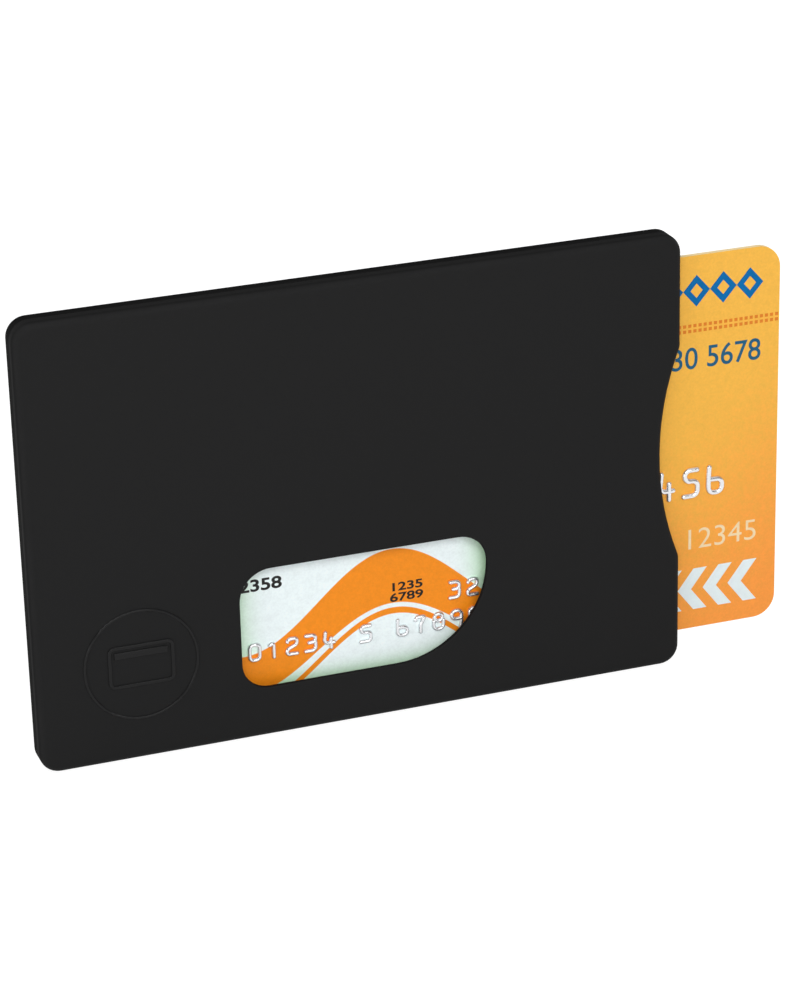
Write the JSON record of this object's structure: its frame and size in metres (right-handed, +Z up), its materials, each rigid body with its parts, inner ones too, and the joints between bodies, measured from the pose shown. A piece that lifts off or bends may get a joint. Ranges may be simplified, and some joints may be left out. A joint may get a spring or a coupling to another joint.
{
  "type": "shielded card sleeve",
  "caption": "Flat rigid sleeve for a bank-size card, open at one end, with a finger notch in the mouth, a thumb window in the front, shield foils inside and a card that slides out.",
  "frame": {"origin": "middle of the sleeve's long bottom edge, at half its thickness, on the face that it stands on", "axes": "+X along the sleeve towards its mouth, -Y out of the front with the window, +Z up"},
  "size_m": [0.1056, 0.0046, 0.0619],
  "materials": {
    "shell_plastic": "black moulded plastic, fine satin",
    "shield_foil": "rolled foil",
    "card_print": "printed and laminated sheet",
    "card_core": "white laminated sheet",
    "copper_line": "etched copper",
    "contact_gold": "plated contacts",
    "stripe_black": "smooth coated tape",
    "writing_panel": "matt coated"
  },
  "bodies": {
    "sleeve": {"front_shell": "shell_plastic", "rear_shell": "shell_plastic", "front_shield": "shield_foil", "rear_shield": "shield_foil"},
    "card": {"card_face_sheet": "card_print", "card_inlay": "card_core", "card_antenna": "copper_line", "card_back_sheet": "card_core", "card_chip": "contact_gold", "card_magnetic_stripe": "stripe_black", "card_signature_panel": "writing_panel"}
  },
  "joints": [
    {"name": "card_slide", "type": "slide", "parent": "sleeve", "child": "card", "axis": [1, 0, 0], "range_m": [-0.0162, 0.075]}
  ]
}
